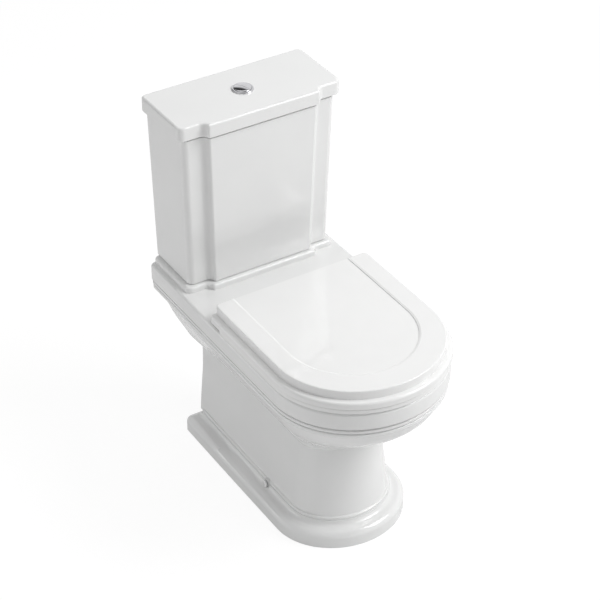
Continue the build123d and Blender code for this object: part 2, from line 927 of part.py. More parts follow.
def make_valve_cage():
    low = flange_top + seat_gap
    stem_hole = stem_radius + stem_clearance
    cage = z_ring(0, valve_y, low, cage_top, cage_radius, cage_radius - cage_wall)
    cage += z_ring(0, valve_y, cage_top - cage_wall, cage_top, cage_radius, stem_hole)
    cage += z_ring(0, valve_y, cage_top, guide_top, guide_radius, guide_radius - cage_wall)
    cage += z_ring(0, valve_y, guide_top - cage_wall, guide_top, guide_radius, stem_hole)
    window_low = low + cage_wall * 2
    window = block(
        -cage_window_width / 2,
        cage_window_width / 2,
        0,
        cage_radius + overrun,
        window_low,
        window_low + cage_window_height,
    )
    for index in range(cage_window_count):
        turn = 45 + index * 360 / cage_window_count
        cage -= Pos(0, valve_y, 0) * Rot(0, 0, turn) * window
    ear_y = valve_y - rod_y - lever_width / 2 - moving_gap - lever_ear_width
    ear = block(
        lever_pivot_x - lever_ear_half_length,
        lever_pivot_x + lever_ear_half_length,
        ear_y,
        ear_y + lever_ear_width,
        guide_top - cage_wall,
        lever_centre + lever_ear_half_length / 2,
    )
    pin_end = valve_y - rod_y + lever_width / 2 + moving_gap
    pin = y_cylinder(lever_pivot_x, ear_y, pin_end, lever_centre, lever_pin_radius - pin_clearance)
    return cage + ear + pin


def make_valve_core():
    seal_top = valve_seat_top + seat_gap + seal_height
    top = lever_top + lift_arm_gap + lift_arm_height
    stem = z_cylinder(0, valve_y, seal_top, top, stem_radius)
    cup = z_ring(
        0,
        valve_y,
        seal_top + float_cup_height / 2,
        seal_top + float_cup_height,
        float_cup_radius,
        stem_radius,
    )
    plate = z_cylinder(0, valve_y, seal_top, seal_top + seal_height, seal_radius - moving_gap * 2)
    arm = block(
        0,
        lever_pivot_x + lever_lift_arm + lift_arm_height,
        valve_y - rod_y - lever_width,
        valve_y + lift_arm_half_width,
        lever_top + lift_arm_gap,
        top,
    )
    bore = z_cylinder(0, valve_y, valve_seat_top - overrun, top + overrun, stem_bore)
    return stem + cup + plate + arm - bore


def make_valve_seal():
    low = valve_seat_top + seat_gap
    return z_ring(0, valve_y, low, low + seal_height, seal_radius, stem_bore)


def make_rocker():
    y = valve_y - rod_y
    bar = block(
        lever_pivot_x - lever_push_arm - lever_push_end,
        lever_pivot_x + lever_lift_arm + lever_end,
        y - lever_width / 2,
        y + lever_width / 2,
        lever_centre - lever_height / 2,
        lever_top,
    )
    return bar - y_cylinder(lever_pivot_x, y - overrun, y + overrun, lever_centre, lever_pin_radius)


def make_fill_valve():
    flange_bottom = floor_top + fill_washer_height
    flange_end = flange_bottom + fill_flange_height
    inlet_top = shank_bottom + inlet_length
    valve = z_cylinder(fill_x, valve_y, shank_bottom, inlet_top, inlet_radius)
    valve += z_cylinder(fill_x, valve_y, inlet_top, flange_bottom, shank_radius)
    valve += z_cylinder(fill_x, valve_y, flange_bottom, flange_end, fill_flange_radius)
    valve += z_cylinder(fill_x, valve_y, flange_end, riser_top, riser_radius)
    head_top = riser_top + fill_head_height
    valve += z_cylinder(fill_x, valve_y, riser_top, head_top, fill_head_radius)
    valve += z_cylinder(fill_x, valve_y, head_top, head_top + fill_cap_height, fill_cap_radius)
    for side in (-1, 1):
        near = side * (arm_width / 2 + moving_gap)
        far = side * (arm_width / 2 + moving_gap + arm_ear_width)
        ends = sorted((near, far))
        valve += block(
            fill_x + fill_head_radius / 2,
            arm_pivot_x + arm_height / 2,
            valve_y + ends[0],
            valve_y + ends[1],
            arm_pivot_height - arm_height,
            arm_pivot_height + arm_height,
        )
    half = arm_width / 2 + moving_gap + arm_ear_width
    pin_radius = arm_pin_radius - pin_clearance
    valve += y_cylinder(arm_pivot_x, valve_y - half, valve_y + half, arm_pivot_height, pin_radius)
    bore_top = riser_top - overrun / 2
    valve -= z_cylinder(fill_x, valve_y, shank_bottom - overrun, bore_top, shank_bore)
    return valve


def make_fill_washer():
    top = floor_top + fill_washer_height
    return z_ring(fill_x, valve_y, floor_top, top, fill_washer_radius, shank_radius)


def make_fill_nut():
    top = cistern_bottom - seat_gap
    return hexagon(fill_x, valve_y, top - fill_nut_height, top, fill_nut_radius, shank_radius)


def make_float_arm():
    bar = block(
        arm_pivot_x - arm_height / 2,
        float_x + arm_width / 2,
        valve_y - arm_width / 2,
        valve_y + arm_width / 2,
        arm_pivot_height - arm_height / 2,
        arm_pivot_height + arm_height / 2,
    )
    ends = (valve_y - overrun, valve_y + overrun)
    bore = y_cylinder(arm_pivot_x, *ends, arm_pivot_height, arm_pin_radius)
    top = arm_pivot_height + arm_height / 2 + float_screw_height / 2
    screw = z_cylinder(float_x, valve_y, float_top, top, float_screw_radius)
    return bar - bore + screw


def make_float():
    drum = z_cylinder(float_x, valve_y, float_top - float_height, float_top - seat_gap, float_radius)
    return fillet(drum.edges(), float_round)


def wing_nut(x, y, top, bore):
    hub = z_ring(x, y, top - wing_hub_height, top, wing_hub_radius, bore)
    low = top - wing_height
    wings = block(
        x - wing_span,
        x + wing_span,
        y - wing_thickness / 2,
        y + wing_thickness / 2,
        low,
        top - wing_shoulder,
    )
    gap = z_cylinder(x, y, low - overrun, top + overrun, bore)
    return hub + wings - gap


def both_sides(x, make):
    return [make(-x), make(x)]


def make_bolt(x):
    head_top = bolt_head_low + bolt_head_height
    bolt = z_cylinder(x, valve_y, bolt_low, bolt_head_low, bolt_radius)
    return bolt + z_cylinder(x, valve_y, bolt_head_low, head_top, bolt_head_radius)


def make_rubber_washer(x):
    return z_ring(x, valve_y, floor_top, bolt_head_low, bolt_washer_radius, bolt_radius)


def make_steel_washer(x):
    low = deck_under - steel_washer_height
    return z_ring(x, valve_y, low, deck_under, steel_washer_radius, bolt_radius)


def make_bolt_nut(x):
    return wing_nut(x, valve_y, deck_under - steel_washer_height, bolt_radius)


def seat_outline(height, half_width, reach, rear_y, corner):
    return d_outline(
        height, half_width, half_width - seat_gap, reach, rim_centre_y, rear_y, corner
    )


def buffer_places():
    front = [(side * ring_buffer_x, ring_buffer_y) for side in (-1, 1)]
    return front + [(side * rear_buffer_x, rear_buffer_y) for side in (-1, 1)]


def knuckle(x, length, radius):
    return x_cylinder(x - length / 2, x + length / 2, hinge_y, hinge_height, radius)


def make_seat_ring():
    outline = seat_outline(ring_bottom, ring_half_width, ring_reach, ring_rear_y, ring_corner)
    ring = extrude(outline, ring_height)
    hole = Ellipse(ring_hole_half_width, ring_hole_reach)
    ring -= Pos(0, ring_hole_centre_y, ring_bottom - overrun) * extrude(hole, ring_height + overrun * 2)
    ring = fillet(edges_at(ring, ring_top), ring_edge_radius)
    ring = fillet(edges_at(ring, ring_bottom), ring_lower_edge_radius)
    for side in (-1, 1):
        x = side * outer_knuckle_x
        arm = block(
            x - knuckle_length / 2,
            x + knuckle_length / 2,
            ring_rear_y - ring_corner,
            hinge_y,
            hinge_height - ring_arm_height,
            hinge_height,
        )
        ring += arm + knuckle(x, knuckle_length, knuckle_radius)
        ring -= knuckle(x, knuckle_length + overrun, hinge_pin_radius + pin_clearance)
    return ring


def recess_outline(height):
    return d_outline(
        height,
        recess_half_width,
        recess_half_width - seat_gap,
        recess_reach,
        recess_centre_y,
        seat_lid_rear_y + overrun,
        seat_lid_corner,
    )


def make_seat_lid():
    base = extrude(
        seat_outline(seat_lid_bottom, seat_half_width, seat_reach, seat_lid_rear_y, seat_lid_corner),
        seat_lid_base_height,
    )
    base_top = seat_lid_bottom + seat_lid_base_height
    base = fillet(edges_at(base, base_top), seat_lid_bead_radius)
    plate = extrude(
        seat_outline(
            seat_lid_bottom,
            seat_half_width - seat_lid_top_inset,
            seat_reach - seat_lid_top_inset,
            seat_lid_rear_y,
            seat_lid_corner,
        ),
        seat_lid_height,
    )
    lid = base + plate
    lid = fillet(edges_at(lid, seat_lid_top), seat_lid_edge_radius)
    lid -= extrude(recess_outline(seat_lid_top - recess_depth), recess_depth + overrun)
    bevel = recess_outline(seat_lid_top - recess_bevel_depth)
    lid -= extrude(bevel.face(), recess_bevel_depth * 2, taper=-recess_bevel_angle)
    under = seat_lid_top - seat_lid_plate
    hollow = seat_outline(
        seat_lid_bottom,
        seat_half_width - seat_lid_skirt - seat_lid_top_inset / 2,
        seat_reach - seat_lid_skirt - seat_lid_top_inset / 2,
        seat_lid_rear_y - seat_lid_rear_skirt,
        seat_lid_corner,
    )
    lid -= extrude(hollow, under - seat_lid_bottom)
    for side in (-1, 1):
        x = side * inner_knuckle_x
        rib = block(
            x - knuckle_length / 2,
            x + knuckle_length / 2,
            hinge_y - knuckle_radius,
            hinge_y + knuckle_radius,
            hinge_height,
            under,
        )
        lid += rib + knuckle(x, knuckle_length, knuckle_radius)
        lid -= knuckle(x, knuckle_length + overrun, hinge_pin_radius + pin_clearance)
        near = hinge_x - post_eye_length / 2 - notch_margin
        far = outer_knuckle_x + knuckle_length / 2 + notch_margin
        ends = sorted((side * near, side * far))
        lid -= block(
            ends[0],
            ends[1],
            seat_lid_rear_y - seat_lid_corner,
            seat_lid_rear_y + overrun,
            seat_lid_bottom - overrun,
            under,
        )
    for x, y in buffer_places():
        boss_low = ring_top + lid_buffer_height
        lid += z_cylinder(x, y, boss_low, under + edge_tolerance, buffer_radius + buffer_boss_wall)
    return lid


def make_post(x):
    low = rim_height + post_pad_height
    post = z_cylinder(x, hinge_y, low, low + post_base_height, post_base_radius)
    post += z_cylinder(x, hinge_y, low, hinge_height, post_neck_radius)
    post += knuckle(x, post_eye_length, post_eye_radius)
    stud_bottom = deck_under - stud_length / 2
    post -= knuckle(x, post_eye_length + overrun, hinge_pin_radius)
    post -= z_cylinder(x, hinge_y, stud_bottom, low + post_base_height, stud_radius)
    return post


def make_pin(x):
    side = 1 if x > 0 else -1
    inner = side * (inner_knuckle_x - knuckle_length / 2 - knuckle_gap)
    outer = side * (outer_knuckle_x + knuckle_length / 2 + knuckle_gap)
    ends = sorted((inner, outer))
    pin = x_cylinder(ends[0], ends[1], hinge_y, hinge_height, hinge_pin_radius)
    ends = sorted((outer, outer + side * pin_head_length))
    return pin + x_cylinder(ends[0], ends[1], hinge_y, hinge_height, pin_head_radius)


def make_stud(x):
    top = rim_height + post_pad_height + post_base_height
    return z_cylinder(x, hinge_y, top - stud_length, top, stud_radius)


def make_base_pad(x):
    top = rim_height + post_pad_height
    return z_ring(x, hinge_y, rim_height, top, post_pad_radius, stud_radius)


def make_hinge_nut(x):
    return wing_nut(x, hinge_y, deck_under - cone_height, stud_radius)


def make_buffers(low, high):
    return group([z_cylinder(x, y, low, high, buffer_radius) for x, y in buffer_places()])


def make_cone(x):
    cone = Cone(stud_hole_radius, cone_radius, cone_height)
    cone = Pos(x, hinge_y, deck_under - cone_height / 2) * cone
    return cone - z_cylinder(x, hinge_y, deck_under - overrun, deck_under + overrun, stud_radius)


def make_cap(side):
    cap = side_cylinder(side, cap_end_x - cap_thickness, cap_end_x, cap_radius)
    face = cap.faces().sort_by(Axis.X)[-1 if side > 0 else 0]
    cap = fillet(face.edges(), cap_round)
    dimple_x = cap_end_x - cap_dimple_depth
    return cap - side_cylinder(side, dimple_x, cap_end_x + overrun, cap_dimple_radius)


def make_side_screw(side):
    screw = side_cylinder(side, fixing_face_x - screw_length, fixing_face_x, screw_radius)
    head_end = fixing_face_x + screw_head_height
    return screw + side_cylinder(side, fixing_face_x, head_end, screw_head_radius)


def make_bracket(side):
    half = bracket_width / 2
    leg = sorted((side * bracket_x, side * (bracket_x - bracket_thickness)))
    foot = sorted((side * bracket_x, side * (bracket_x - bracket_foot)))
    bracket = block(leg[0], leg[1], fixing_y - half, fixing_y + half, 0, bracket_leg)
    bracket += block(foot[0], foot[1], fixing_y - half, fixing_y + half, 0, bracket_thickness)
    hole_start = fixing_face_x - screw_length - overrun
    bracket -= side_cylinder(side, hole_start, fixing_face_x, screw_radius)
    x = side * (bracket_x - bracket_foot / 2)
    return bracket - z_cylinder(x, fixing_y, -overrun, overrun, screw_radius + screw_hole_gap)


def make_floor_screw(side):
    x = side * (bracket_x - bracket_foot / 2)
    head_low = bracket_thickness
    screw = z_cylinder(x, fixing_y, 0, head_low, screw_radius)
    return screw + z_cylinder(x, fixing_y, head_low, head_low + floor_screw_head, screw_head_radius)


def group(shapes):
    solids = [solid for shape in shapes for solid in shape.solids()]
    return Compound(children=solids)


os.makedirs("parts", exist_ok=True)
save("pan", make_pan())
save("cistern", make_cistern())
save("cistern_lid", make_cistern_lid())
save("flush_bezel", make_bezel())
save("bezel_nut", make_bezel_nut())
save("full_flush_button", make_button(-1))
save("half_flush_button", make_button(1))
save("flush_valve_base", make_valve_base())
save("flush_valve_cage", make_valve_cage())
save("flush_valve_core", make_valve_core())
save("flush_valve_seal", make_valve_seal())
save("flush_rocker", make_rocker())
save("flush_valve_washer", make_valve_washer())
save("flush_valve_nut", make_valve_nut())
save("coupling_gasket", make_gasket())
save("fill_valve", make_fill_valve())
save("float_arm", make_float_arm())
save("fill_float", make_float())
save("fill_valve_washer", make_fill_washer())
save("fill_valve_nut", make_fill_nut())
save("cistern_bolts", group(both_sides(bolt_x, make_bolt)))
save("bolt_rubber_washers", group(both_sides(bolt_x, make_rubber_washer)))
save("bolt_steel_washers", group(both_sides(bolt_x, make_steel_washer)))
save("bolt_wing_nuts", group(both_sides(bolt_x, make_bolt_nut)))
save("seat_ring", make_seat_ring())
save("seat_lid", make_seat_lid())
save("seat_ring_buffers", make_buffers(rim_height, ring_bottom))
save("seat_lid_buffers", make_buffers(ring_top, ring_top + lid_buffer_height))
save("hinge_posts", group(both_sides(hinge_x, make_post)))
save("hinge_pins", group(both_sides(hinge_x, make_pin)))
save("hinge_studs", group(both_sides(hinge_x, make_stud)))
save("hinge_base_pads", group(both_sides(hinge_x, make_base_pad)))
save("hinge_cone_washers", group(both_sides(hinge_x, make_cone)))
save("hinge_wing_nuts", group(both_sides(hinge_x, make_hinge_nut)))
save("floor_brackets", group(both_sides(1, make_bracket)))
save("side_screws", group(both_sides(1, make_side_screw)))
save("floor_screws", group(both_sides(1, make_floor_screw)))
save("fixing_caps", group(both_sides(1, make_cap)))
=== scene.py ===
import json
import math

import bmesh
import bpy
from mathutils import Matrix, Vector


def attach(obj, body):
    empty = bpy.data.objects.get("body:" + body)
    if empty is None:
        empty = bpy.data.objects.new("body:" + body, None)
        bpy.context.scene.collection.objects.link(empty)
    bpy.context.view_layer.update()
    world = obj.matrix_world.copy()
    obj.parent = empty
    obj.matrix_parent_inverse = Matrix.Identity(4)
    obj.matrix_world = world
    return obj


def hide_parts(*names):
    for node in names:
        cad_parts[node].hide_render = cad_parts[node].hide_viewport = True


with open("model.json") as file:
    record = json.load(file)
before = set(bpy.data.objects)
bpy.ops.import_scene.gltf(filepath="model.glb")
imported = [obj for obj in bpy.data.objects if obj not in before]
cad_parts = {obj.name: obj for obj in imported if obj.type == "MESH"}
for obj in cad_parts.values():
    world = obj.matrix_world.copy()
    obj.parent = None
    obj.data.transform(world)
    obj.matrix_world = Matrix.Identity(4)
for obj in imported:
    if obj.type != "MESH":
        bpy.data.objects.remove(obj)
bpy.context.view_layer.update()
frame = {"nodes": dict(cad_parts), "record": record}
nodes = frame["nodes"]

# Camera, in metres, the angle its picture spans, and the width of its sensor in millimetres
CAMERA_PLACE = (-1.74418, -2.75948, 2.77294)
CAMERA_TARGET = (-0.018745, 0.01195, 0.45064)
CAMERA_SPAN = math.radians(16.49)
SENSOR_WIDTH = 36

# Softboxes: name, place, the point it faces, width and height in metres, power in watts
SOFTBOXES = (
    ("key_softbox", (2.2, -1.7, 3.1), (0, 0, 0.4), 2.0, 2.0, 96),
    ("top_softbox", (0.2, 0.9, 3.6), (0, 0.1, 0.4), 2.4, 1.8, 13),
    ("low_left_panel", (-1.5, 0.7, 0.3), (-0.1, 0.1, 0.15), 1.2, 0.4, 3.4),
)

# Brightness of the studio as light on matt surfaces, and as the camera sees it
STUDIO_LIGHT = 0.48
STUDIO_SEEN = 1.0

# What gloss reflects: brightness by how far a direction leans up and to the left
GLOSS_LEAN = (-1, 0, 1)
GLOSS_SWEEP = ((0.0, 0.95), (0.20, 0.90), (0.34, 0.06), (0.80, 0.06), (1.0, 0.5))

# Floor: half its width in metres, its grey to the object, and to the camera a glow under
# a darker grey, so that it is nearly white and still keeps the shadow
FLOOR_REACH = 12.0
FLOOR_GREY = 0.82
FLOOR_SHADE = 0.16
FLOOR_GLOW = 0.88

# Solids shown by a copy with shared normals, and the corner below which faces share them
SMOOTHED = ("pan",)
SMOOTH_ANGLE = math.radians(24)
MERGE_DISTANCE = 0.00002

# Noise keeps mostly between these values
NOISE_LOW = 0.25
NOISE_HIGH = 0.75

# Crowned faces of the two flush buttons, in metres
BUTTON_RADIUS = 0.0172
BUTTON_SLIT = 0.0003
BUTTON_TURN = math.radians(26)
DOME_RISE = 0.0020
DOME_STEPS = 28
EDGE_ROLL = 0.0007
EDGE_SQUARENESS = 6

# Screw forms, in metres: where the thread starts above the foot of its solid, and its sizes
M8 = {"start": 0.0010, "radius": 0.0040, "length": 0.020, "pitch": 0.00125}
HALF_INCH = {"start": 0.0015, "radius": 0.0103, "length": 0.018, "pitch": 0.00181}
RIDGE_SHARE = 0.42
RIDGE_SIDES = 4
STEPS_PER_TURN = 24

# Threads: name, the solid it belongs to, finish, place across in metres, form
BOLT_X = 0.112
STUD_X = 0.0775
INLET_X = 0.078
THREADS = (
    ("bolt_thread_left", "cistern_bolts", "zinc", -BOLT_X, M8),
    ("bolt_thread_right", "cistern_bolts", "zinc", BOLT_X, M8),
    ("stud_thread_left", "hinge_studs", "zinc", -STUD_X, M8),
    ("stud_thread_right", "hinge_studs", "zinc", STUD_X, M8),
    ("inlet_thread", "fill_valve", "white", INLET_X, HALF_INCH),
)


def facing(place, target):
    """Matrix of a camera or lamp at a place, turned towards a target."""
    sight = Vector(target) - Vector(place)
    turn = sight.to_track_quat("-Z", "Y").to_matrix().to_4x4()
    return Matrix.Translation(place) @ turn


def add_object(name, data):
    item = bpy.data.objects.new(name, data)
    bpy.context.scene.collection.objects.link(item)
    return item


def add_camera():
    data = bpy.data.cameras.new("camera")
    data.sensor_width = SENSOR_WIDTH
    data.angle = CAMERA_SPAN
    camera = add_object("camera", data)
    camera.matrix_world = facing(CAMERA_PLACE, CAMERA_TARGET)
    bpy.context.scene.camera = camera


class Shader:
    """A material with its node tree, and short calls for adding and joining nodes."""

    def __init__(self, name):
        self.material = bpy.data.materials.new(name)
        self.material.use_nodes = True
        self.tree = self.material.node_tree
        self.tree.nodes.clear()
        self.output = self.add("ShaderNodeOutputMaterial")
        self.coordinates = None

    def add(self, kind, **settings):
        node = self.tree.nodes.new(kind)
        for key, value in settings.items():
            setattr(node, key, value)
        return node

    def join(self, source, target):
        self.tree.links.new(source, target)

    def place(self, stretch):
        """Object coordinates, scaled along the three axes."""
        if self.coordinates is None:
            self.coordinates = self.add("ShaderNodeTexCoord")
        mapping = self.add("ShaderNodeMapping")
        mapping.inputs["Scale"].default_value = stretch
        self.join(self.coordinates.outputs["Object"], mapping.inputs["Vector"])
        return mapping.outputs["Vector"]

    def noise(self, scale, detail, stretch=(1, 1, 1)):
        node = self.add("ShaderNodeTexNoise")
        node.inputs["Scale"].default_value = scale
        node.inputs["Detail"].default_value = detail
        self.join(self.place(stretch), node.inputs["Vector"])
        return node.outputs["Fac"]

    def spread(self, source, low, high):
        """Stretches a noise to the range from low to high."""
        node = self.add("ShaderNodeMapRange")
        node.inputs["From Min"].default_value = NOISE_LOW
        node.inputs["From Max"].default_value = NOISE_HIGH
        node.inputs["To Min"].default_value = low
        node.inputs["To Max"].default_value = high
        self.join(source, node.inputs["Value"])
        return node.outputs["Result"]

    def tint(self, source, low, high):
        """Mixes two colours by a noise."""
        node = self.add("ShaderNodeMix", data_type="RGBA")
        colours = [socket for socket in node.inputs if socket.type == "RGBA"]
        colours[0].default_value = (*low, 1)
        colours[1].default_value = (*high, 1)
        self.join(self.spread(source, low=0, high=1), node.inputs["Factor"])
        return [socket for socket in node.outputs if socket.type == "RGBA"][0]

    def bump(self, source, distance, after=None):
        """Normal from a noise of the given height in metres, on top of another normal."""
        node = self.add("ShaderNodeBump")
        node.inputs["Distance"].default_value = distance
        self.join(source, node.inputs["Height"])
        if after is not None:
            self.join(after, node.inputs["Normal"])
        return node.outputs["Normal"]

    def surface(self, colour, roughness, normal, **sockets):
        node = self.add("ShaderNodeBsdfPrincipled")
        for key, value in sockets.items():
            node.inputs[key.replace("_", " ")].default_value = value
        self.join(colour, node.inputs["Base Color"])
        self.join(roughness, node.inputs["Roughness"])
        self.join(normal, node.inputs["Normal"])
        self.join(node.outputs["BSDF"], self.output.inputs["Surface"])
        return self.material


def glaze():
    """Vitreous china: a clear glaze that pools a little over a white body."""
    s = Shader("white_glaze")
    cloud = s.noise(scale=7.0, detail=4.0)
    colour = s.tint(cloud, low=(0.800, 0.803, 0.800), high=(0.830, 0.832, 0.828))
    roughness = s.spread(s.noise(scale=22.0, detail=3.0), low=0.035, high=0.075)
    waves = s.bump(s.noise(scale=14.0, detail=2.0), distance=0.00012)
    peel = s.bump(s.noise(scale=170.0, detail=2.0), distance=0.000006, after=waves)
    return s.surface(colour, roughness, peel, IOR=1.52, Coat_Weight=0.35, Coat_Roughness=0.02)


def seat_gloss():
    """Pressed white resin of the seat, smoother and a little brighter than the glaze."""
    s = Shader("white_seat_resin")
    cloud = s.noise(scale=9.0, detail=3.0)
    colour = s.tint(cloud, low=(0.835, 0.836, 0.832), high=(0.860, 0.861, 0.857))
    roughness = s.spread(s.noise(scale=30.0, detail=3.0), low=0.02, high=0.045)
    waves = s.bump(s.noise(scale=9.0, detail=1.0), distance=0.00006)
    return s.surface(colour, roughness, waves, IOR=1.5, Coat_Weight=0.2, Coat_Roughness=0.03)


def chrome():
    """Bright plating with the faint haze that wiping leaves."""
    s = Shader("polished_chrome")
    haze = s.noise(scale=60.0, detail=3.0)
    colour = s.tint(haze, low=(0.60, 0.60, 0.62), high=(0.68, 0.68, 0.70))
    roughness = s.spread(s.noise(scale=180.0, detail=4.0), low=0.05, high=0.12)
    grain = s.bump(s.noise(scale=400.0, detail=2.0), distance=0.000008)
    return s.surface(colour, roughness, grain, Metallic=1.0)


def moulded(name, low, high, smoothest=0.32, roughest=0.45):
    """Moulded fitting plastic with a fine spark-eroded texture."""
    s = Shader(name)
    colour = s.tint(s.noise(scale=35.0, detail=4.0), low, high)
    roughness = s.spread(s.noise(scale=90.0, detail=3.0), smoothest, roughest)
    grain = s.bump(s.noise(scale=1400.0, detail=2.0), distance=0.00003)
    return s.surface(colour, roughness, grain, IOR=1.48)


def rubber():
    """Black rubber of the washers and gaskets, dull and finely pitted."""
    s = Shader("black_rubber")
    bloom = s.noise(scale=120.0, detail=5.0)
    colour = s.tint(bloom, low=(0.012, 0.012, 0.012), high=(0.030, 0.030, 0.031))
    roughness = s.spread(s.noise(scale=60.0, detail=4.0), low=0.62, high=0.85)
    grain = s.bump(s.noise(scale=900.0, detail=4.0), distance=0.00006)
    return s.surface(colour, roughness, grain, IOR=1.5)


def zinc():
    """Zinc plating: bright grey with drawn lines along the metal."""
    s = Shader("zinc_plating")
    spangle = s.noise(scale=140.0, detail=5.0)
    colour = s.tint(spangle, low=(0.40, 0.41, 0.43), high=(0.56, 0.57, 0.58))
    roughness = s.spread(s.noise(scale=70.0, detail=5.0), low=0.26, high=0.44)
    drawn = s.noise(scale=500.0, detail=3.0, stretch=(1, 1, 0.05))
    return s.surface(colour, roughness, s.bump(drawn, distance=0.00004), Metallic=1.0)


MATERIALS = {
    "glaze": glaze(),
    "seat": seat_gloss(),
    "chrome": chrome(),
    "white": moulded("white_fitting", (0.70, 0.70, 0.69), (0.76, 0.76, 0.75)),
    "grey": moulded("grey_fitting", (0.24, 0.26, 0.29), (0.30, 0.32, 0.35)),
    "blue": moulded("blue_fitting", (0.04, 0.15, 0.40), (0.06, 0.19, 0.47)),
    "clear": moulded("soft_buffer", (0.66, 0.67, 0.66), (0.74, 0.75, 0.74), 0.18, 0.30),
    "rubber": rubber(),
    "zinc": zinc(),
}
FINISHES = {
    "glaze": ("pan", "cistern", "cistern_lid"),
    "seat": ("seat_ring", "seat_lid", "fixing_caps"),
    "chrome": (
        "flush_bezel",
        "full_flush_button",
        "half_flush_button",
        "hinge_posts",
        "hinge_pins",
    ),
    "white": (
        "bezel_nut",
        "flush_valve_base",
        "flush_valve_cage",
        "flush_valve_nut",
        "fill_valve",
        "fill_float",
        "fill_valve_nut",
        "hinge_base_pads",
        "hinge_wing_nuts",
    ),
    "grey": ("flush_rocker", "float_arm"),
    "blue": ("flush_valve_core",),
    "clear": ("seat_ring_buffers", "seat_lid_buffers"),
    "rubber": (
        "flush_valve_seal",
        "flush_valve_washer",
        "coupling_gasket",
        "fill_valve_washer",
        "bolt_rubber_washers",
        "hinge_cone_washers",
    ),
    "zinc": (
        "cistern_bolts",
        "bolt_steel_washers",
        "bolt_wing_nuts",
        "hinge_studs",
        "floor_brackets",
        "side_screws",
        "floor_screws",
    ),
}
FINISH_OF = {name: finish for finish, names in FINISHES.items() for name in names}


def paint(piece, finish):
    piece.data.materials.clear()
    piece.data.materials.append(MATERIALS[finish])


def body_with(node):
    """The moving body that a CAD solid belongs to."""
    for body, members in frame["record"]["behaviour"]["bodies"].items():
        if node in members:
            return body


def node_box(node):
    """Lowest and highest corner of a CAD solid."""
    points = [vertex.co for vertex in nodes[node].data.vertices]
    low = Vector([min(point[axis] for point in points) for axis in range(3)])
    high = Vector([max(point[axis] for point in points) for axis in range(3)])
    return low, high


def add_piece(name, mesh, node, finish):
    """A piece that moves with a CAD solid."""
    piece = add_object(name, mesh)
    paint(piece, finish)
    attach(piece, body_with(node))


def smooth(work):
    """Shades faces as one surface across all edges but the sharp ones."""
    for face in work.faces:
        face.smooth = True
    for edge in work.edges:
        edge.smooth = edge.is_manifold and edge.calc_face_angle(0) < SMOOTH_ANGLE


def smooth_copy(node):
    """A merged copy in a solid's place, whose curved faces share their normals."""
    mesh = nodes[node].data.copy()
    work = bmesh.new()
    work.from_mesh(mesh)
    bmesh.ops.remove_doubles(work, verts=work.verts, dist=MERGE_DISTANCE)
    smooth(work)
    work.to_mesh(mesh)
    work.free()
    piece = add_object(node + "_surface", mesh)
    if mesh.has_custom_normals:
        with bpy.context.temp_override(object=piece, active_object=piece):
            bpy.ops.mesh.customdata_custom_splitnormals_clear()
    paint(piece, FINISH_OF[node])
    normals = piece.modifiers.new("normals", "WEIGHTED_NORMAL")
    normals.keep_sharp = True
    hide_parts(node)
    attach(piece, body_with(node))


def rim_of_grid(rows, columns):
    """Numbers of a grid's outer points, in order round it."""
    last = (rows - 1) * columns
    rim = list(range(columns))
    rim += [i * columns + columns - 1 for i in range(1, rows)]
    rim += [last + j for j in range(columns - 2, -1, -1)]
    rim += [i * columns for i in range(rows - 2, 0, -1)]
    return rim


def closed_grid(name, rows, base_z):
    """Mesh between a grid of points, given as rows of (x, y, z), and a flat base below it."""
    columns = len(rows[0])
    top = [point for row in rows for point in row]
    base = [(x, y, base_z) for x, y, z in top]
    count = len(top)
    faces = []
    for i in range(len(rows) - 1):
        for j in range(columns - 1):
            a = i * columns + j
            b = a + columns
            faces.append((a, b, b + 1, a + 1))
            faces.append((count + a + 1, count + b + 1, count + b, count + a))
    rim = rim_of_grid(len(rows), columns)
    for a, b in zip(rim, rim[1:] + rim[:1]):
        faces.append((a, b, count + b, count + a))
    mesh = bpy.data.meshes.new(name)
    mesh.from_pydata(top + base, [], faces)
    work = bmesh.new()
    work.from_mesh(mesh)
    bmesh.ops.remove_doubles(work, verts=work.verts, dist=MERGE_DISTANCE)
    bmesh.ops.recalc_face_normals(work, faces=work.faces)
    smooth(work)
    work.to_mesh(mesh)
    work.free()
    return mesh


def dome_height(reach):
    """Rise of the crowned button at a distance from its middle."""
    share = min((reach / BUTTON_RADIUS) ** 2, 1)
    roll = math.sqrt(max(1 - share**EDGE_SQUARENESS, 0))
    return DOME_RISE * (1 - share) + EDGE_ROLL * roll


def button_dome(node, side):
    """Crowned face of one half of the flush button, with a rolled outer edge."""
    low, high = node_box("flush_bezel")
    centre = (low + high) / 2
    top = node_box(node)[1].z
    turn = Matrix.Rotation(BUTTON_TURN, 3, "Z")
    quarter = math.pi / 2
    rows = []
    for i in range(DOME_STEPS + 1):
        along = BUTTON_RADIUS * math.sin(quarter * (2 * i / DOME_STEPS - 1))
        width = math.sqrt(max(BUTTON_RADIUS**2 - along**2, 0)) - BUTTON_SLIT
        row = []
        for j in range(DOME_STEPS + 1):
            out = BUTTON_SLIT + max(width, 0) * math.sin(quarter * j / DOME_STEPS)
            place = turn @ Vector((side * out, along, 0))
            height = top + dome_height(math.hypot(out, along))
            row.append((centre.x + place.x, centre.y + place.y, height))
        rows.append(row)
    name = node + "_face"
    add_piece(name, closed_grid(name, rows, top - EDGE_ROLL), node, "chrome")


